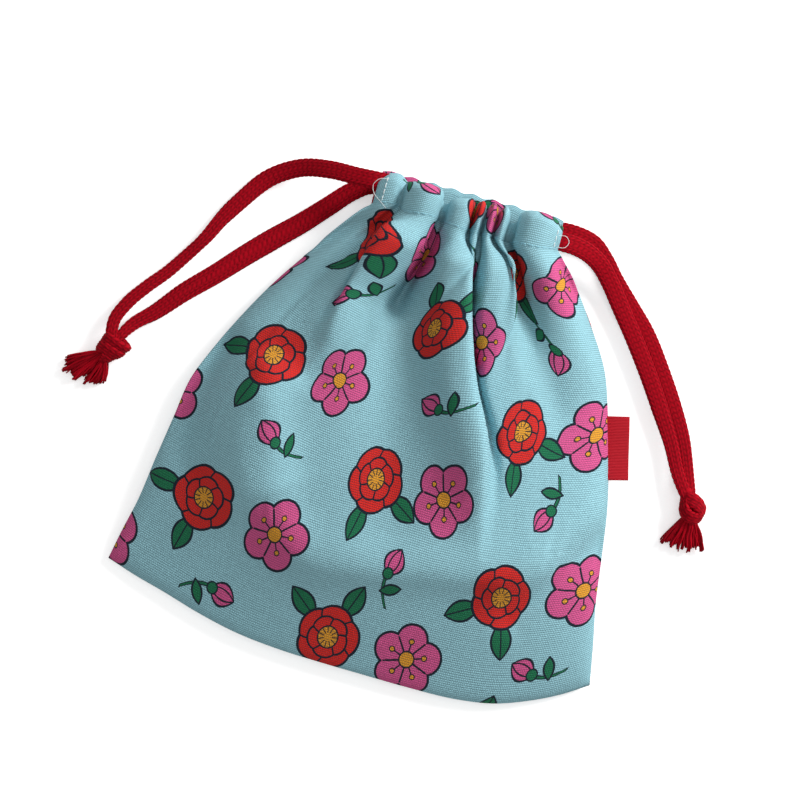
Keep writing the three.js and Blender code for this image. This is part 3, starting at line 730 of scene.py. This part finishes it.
tassels = {}
for side, (count, reach, spread, slant, curve, sway, seed) in FRAYS.items():
    chance = np.random.default_rng(seed)
    t = np.linspace(0, 1, YARN_RINGS)[None]
    q = np.sort(chance.uniform(-1, 1, count))[:, None]
    w = chance.uniform(-1, 1, count)[:, None]
    lock = np.floor((q + 1) * (LOCKS / 2)).astype(int)
    drift = chance.uniform(-0.06, 0.06, LOCKS)[lock]
    ragged = chance.uniform(0.86, 1.08, LOCKS)[lock]
    tip = (lock + 0.5) / (LOCKS / 2) - 1 + drift
    long = reach * ragged * chance.uniform(0.86, 1.03, count)[:, None]
    long = long * (1 - slant * q - curve * q**2)
    wave = chance.uniform(0.15, 0.4, count)[:, None] * np.sin(
        t * chance.uniform(9, 15, count)[:, None] + chance.uniform(0, 6, count)[:, None])
    along = (long + ROOT + NECK) * t - ROOT
    out = np.clip((along - NECK) / long, 0, 1)
    q = q + 0.42 * (tip - q) * out
    half = NECK_HALF * (1 - out) + spread * out**1.1 + 0.9 * np.sin(np.pi * out)
    across = q * half + wave * out**0.5 + sway * out * long
    lift = w * (NECK_HALF - 0.6 * out) - 0.6 - 2 * out + 0.6 * wave
    line = in_knot(side, np.stack([along, across, lift], -1))
    line[..., 2] = np.maximum(line[..., 2], YARN_LOW)
    girth = chance.uniform(0.34, 0.56, count)[:, None] * (1 - 0.35 * t**3)
    points, faces = tubes(line, girth[..., None, None], (0, 0, 1.0))
    tone = np.repeat(chance.uniform(0.35, 1, count), YARN_RINGS * YARN_SIDES)
    tassels[side] = mesh_piece(side + "_frayed_tassel", points, faces, cord_red, plait=tone)
    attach(tassels[side], side + "_cord")
    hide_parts(side + "_tassel")

# What each cord is: where it leaves the casing, its free length in metres and the CAD node that it
# stands for. That CAD node is hidden for the one strand of each side that names it.
for name, exit_at, length, node in (
        ("left_strand_lower", (-36.5, 92, 2.4), 0.135, "left_drawcord"),
        ("left_strand_upper", (-36.5, 92, 18.4), 0.147, None),
        ("right_strand_under", (36.5, 92.4, 5.1), 0.133, "right_drawcord"),
        ("right_strand_over", (36.5, 88.5, 16.2), 0.133, None)):
    made, run = strands[name]
    side = name.split("_")[0]
    if node:
        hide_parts(node)

# Side label: a short ribbed tape of woven yarn, with a bare face. It is folded in two with its
# fold outwards, and its cut ends are caught in the right side seam.
# The darker red is painted shade between the tape's ribs, and the colour of its random specks.
TAPE_RED, TAPE_RIB_SHADE_AND_SPECK = srgb(186, 18, 36), srgb(118, 6, 18)
tape_red, shader, start = new_material("woven_tape", Roughness=0.7, Specular_IOR_Level=0.15)
weft = start.node("ShaderNodeAttribute", out=1, attribute_name="tape")
along = start.node("ShaderNodeSeparateXYZ", {0: weft})
RIB = 0.62  # spacing of the tape's ribs
rib = (along * (2 * np.pi / RIB)).math("SINE")
speck = start.node("ShaderNodeTexNoise", {"Scale": 1500.0, "Detail": 2.0})
# Painted shade: the tape goes dark between its ribs, with random specks.
tone = rib.below(0.1, 0.8) * 0.35 + speck * 0.3
feed(tone.mix(TAPE_RED, TAPE_RIB_SHADE_AND_SPECK), shader, "Base Color")
bump = start.node("ShaderNodeBump", {"Strength": 0.5, "Distance": 0.0002, "Height": rib})
feed(bump, shader, "Normal")
TAPE_INNER = np.array([(75.2, 26.4), (81.9, 1.6)])
TAPE_OUTER = np.array([(85.5, 28.9), (91.9, 4.1)])
TAPE_LONG, TAPE_DEEP, TAPE_HEIGHT, TAPE_WALL = 26, 10, 7.9, 0.4
s_tape = np.linspace(0, 1, 53)[:, None]
# Round the tape: out along its upper leaf to 1, round its fold to 2, back along the lower to 3.
turn = np.concatenate([np.linspace(0, 1, 15), 1 + np.linspace(0, 1, 9)[1:],
                       np.linspace(2, 3, 15)[1:]])[None]
out_share = np.where(turn < 1, turn, np.where(turn > 2, 3 - turn, 1))
bulge = np.where((turn > 1) & (turn < 2), np.sin(np.pi * (turn - 1)), 0)
height = np.where(turn < 1, 1, np.where(turn > 2, -1, np.cos(np.pi * (turn - 1))))
inner = TAPE_INNER[0] + s_tape[..., None] * (TAPE_INNER[1] - TAPE_INNER[0])
outer = TAPE_OUTER[0] + s_tape[..., None] * (TAPE_OUTER[1] - TAPE_OUTER[0])
flat = inner + (outer - inner) * (out_share + 0.05 * bulge)[..., None]
droop = TAPE_HEIGHT + 0.55 * height - 1.6 * out_share**2 + 0.5 * out_share * np.sin(5 * s_tape + 1)
tape = np.concatenate([flat, droop[..., None]], -1)
tape_at = np.stack(np.broadcast_arrays(TAPE_LONG * s_tape, TAPE_DEEP * turn), -1)
faces = grid_faces(np.arange(tape[..., 0].size).reshape(tape.shape[:2]))[..., ::-1]
label = mesh_piece("side_label_tape", tape, faces, tape_red, tape=tape_at)
wall = label.modifiers.new("wall", "SOLIDIFY")
wall.thickness, wall.offset = TAPE_WALL * MM, 1
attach(label, "pouch")
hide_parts("side_label")

# Sewing: a row of lockstitch holds each casing down, the casing ends are hemmed with the same
# pale thread, and its ends are left as short loops beside the cords.
THREAD_BLUE, THREAD_PALE = srgb(122, 182, 198), srgb(236, 240, 238)
THREAD_SHADE = srgb(150, 170, 176)
thread_white, shader, start = new_material("sewing_thread", Roughness=0.6)
twist = start.node("ShaderNodeTexNoise", {"Scale": 2500.0})
pale = start.node("ShaderNodeAttribute", out=2, attribute_name="pale")
colour = pale.mix(THREAD_BLUE, THREAD_PALE)
feed((twist * 0.4).mix(colour, THREAD_SHADE), shader, "Base Color")


def stitches(line, lift, pitch=3.1, fill=0.76, girth=0.17):
    """Thread dashes along a line: each is a short tube that dips into the cloth at both ends."""
    run = np.r_[0, np.cumsum(np.linalg.norm(np.diff(line, axis=0), axis=1))]
    first = np.arange(0.5, run[-1] - pitch, pitch)[:, None]
    t = np.linspace(0, 1, 6)
    where = first + pitch * fill * t
    spot = np.stack([np.interp(where, run, line[:, i]) for i in range(3)], -1)
    spot = spot + np.asarray(lift) * (np.sin(np.pi * t) ** 0.5 - 0.35)[None, :, None]
    return tubes(spot, girth)


PROUD, HEM_PITCH, HEM_ROWS = 0.35, 2.6, 14
rows = [stitches(front_casing[0], (0, 0, PROUD)),
        stitches(back_casing[0], (0, 0, -PROUD)),
        stitches(front_casing[:HEM_ROWS, 4], (-0.15, 0, PROUD), HEM_PITCH),
        stitches(front_casing[:HEM_ROWS, -5], (0.15, 0, PROUD), HEM_PITCH)]
loops = [smooth_line([(-31.4, 93.4, 22.4), (-35, 92.4, 22.8), (-36.8, 89.4, 22),
                      (-35.6, 86.6, 21.4), (-32, 83.8, 22.6), (-29.5, 82, 22.8)], 40),
         smooth_line([(38.6, 89.6, 24), (41.6, 90, 23.8), (43.2, 88.2, 23.4), (42.4, 86, 23.2),
                      (39, 85, 23.4)], 40)]
rows.append(tubes(np.array(loops), 0.11))
counts = [len(points) for points, _ in rows]
starts = np.r_[0, np.cumsum(counts)[:-1]]
points = np.concatenate([points for points, _ in rows])
faces = np.concatenate([faces + k for (_, faces), k in zip(rows, starts)])
sewing = mesh_piece("casing_sewing", points, faces, thread_white,
                    pale=np.repeat([0, 0, 1, 1, 1], counts))
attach(sewing, "pouch")

# Floor, lamps and camera: a white table under soft light from the upper right, seen from above.
# The table keeps the shadow, and glows away from it so that it meets the white world unseen.
NEAR_GLOW, TABLE, WORLD_LIGHT = 0.48, 2000, 0.385
paper, shader, start = new_material("white_table", Roughness=0.95, Specular_IOR_Level=0.1,
                                    Base_Color=(0.92, 0.92, 0.92, 1), Emission_Strength=1.0)


def shown(start):
    """1 on the rays that see the background: from the camera, off gloss and through glass."""
    camera, gloss, glass = (start.node("ShaderNodeLightPath", out=k) for k in (0, 3, 6))
    return (camera + gloss + glass).math("MINIMUM", 1.0)


spot = start.node("ShaderNodeTexCoord", out=3)
away = start.node("ShaderNodeVectorMath", {0: spot}, 1, operation="LENGTH")
glow = 1 - away.below(0.7, 0.4)
glow = glow.mix((NEAR_GLOW, NEAR_GLOW, NEAR_GLOW, 1), (1, 1, 1, 1))
feed(shown(start).mix((0, 0, 0, 1), glow), shader, "Emission Color")
corners = np.array([(-1, -1, 0), (1, -1, 0), (1, 1, 0), (-1, 1, 0)]) * TABLE
floor = mesh_piece("table_top", corners, [(0, 1, 2, 3)], paper)
world = bpy.data.worlds.new("studio")
bpy.context.scene.world = world
world.use_nodes = True
sky = world.node_tree.nodes["Background"]
sky.inputs["Color"].default_value = (1, 1, 1, 1)
feed(shown(Wire(world.node_tree)) * (1 - WORLD_LIGHT) + WORLD_LIGHT, sky, "Strength")


def lamp(name, at, aim, size, watts):
    """A square soft lamp that points from one place to another, in metres."""
    data = bpy.data.lights.new(name, "AREA")
    data.size, data.energy = size, watts
    made = bpy.data.objects.new(name, data)
    bpy.context.collection.objects.link(made)
    made.location = at
    made.rotation_euler = (Vector(aim) - Vector(at)).to_track_quat("-Z", "Y").to_euler()


lamp("window", at=(0.64, 0.7, 0.52), aim=(0, 0, 0.01), size=0.36, watts=12)
lamp("fill", at=(0.1, 0.2, 1.2), aim=(0, 0, 0.01), size=0.8, watts=2.4)
CAMERA_AT, ROLL, SENSOR = (-0.0041, 0.011, 0.75), 15.5, 36
FIELD, FIELD_HEIGHT = 0.32, 0.008  # breadth of the view, and how high it is measured
camera = bpy.data.objects.new("camera", bpy.data.cameras.new("camera"))
bpy.context.collection.objects.link(camera)
camera.location = CAMERA_AT
camera.rotation_euler = (0, 0, np.radians(ROLL))
camera.data.sensor_width = SENSOR
camera.data.lens = SENSOR * (CAMERA_AT[2] - FIELD_HEIGHT) / FIELD
bpy.context.scene.camera = camera
bpy.context.scene.view_settings.view_transform = "Standard"
